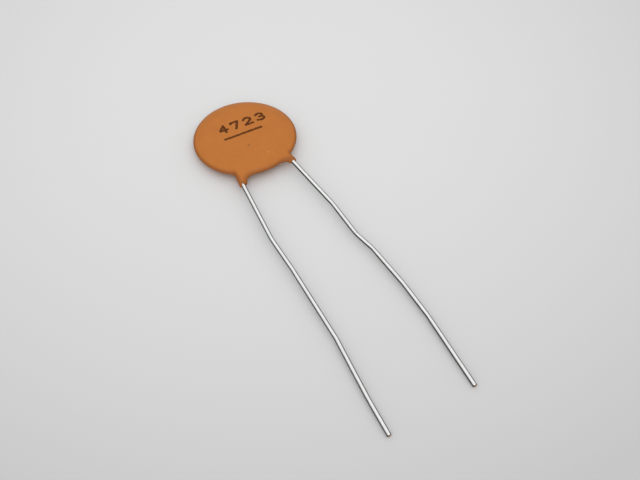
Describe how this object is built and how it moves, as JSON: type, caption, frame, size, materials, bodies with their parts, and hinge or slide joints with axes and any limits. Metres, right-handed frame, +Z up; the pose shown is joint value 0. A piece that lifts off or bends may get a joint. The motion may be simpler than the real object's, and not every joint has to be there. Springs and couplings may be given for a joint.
{
  "type": "ceramic disc capacitor",
  "caption": "Radial-lead ceramic disc capacitor in a dipped orange-brown resin coat, lying flat with its long tinned wires gently bent.",
  "frame": {"origin": "on the surface that the part lies on, under the middle of its outline seen from above", "axes": "+Y from the lead tips towards the disc, +X to the right with the printed face up and the leads towards the viewer, +Z up"},
  "size_m": [0.0132, 0.0486, 0.002],
  "materials": {
    "resin_coat": "satin dipped resin, orange-brown, darker where it thins over the rim",
    "ceramic": "fired unglazed ceramic, cream",
    "silver": "thin fired silver, matt",
    "solder": "soft solder, satin grey",
    "tinned_wire": "bright drawn tinned wire with a bare coppery cut end"
  },
  "bodies": {
    "root": {"coating": "resin_coat", "ceramic_disc": "ceramic", "front_electrode": "silver", "back_electrode": "silver", "front_solder": "solder", "back_solder": "solder", "left_lead": "tinned_wire", "right_lead": "tinned_wire"}
  },
  "joints": []
}
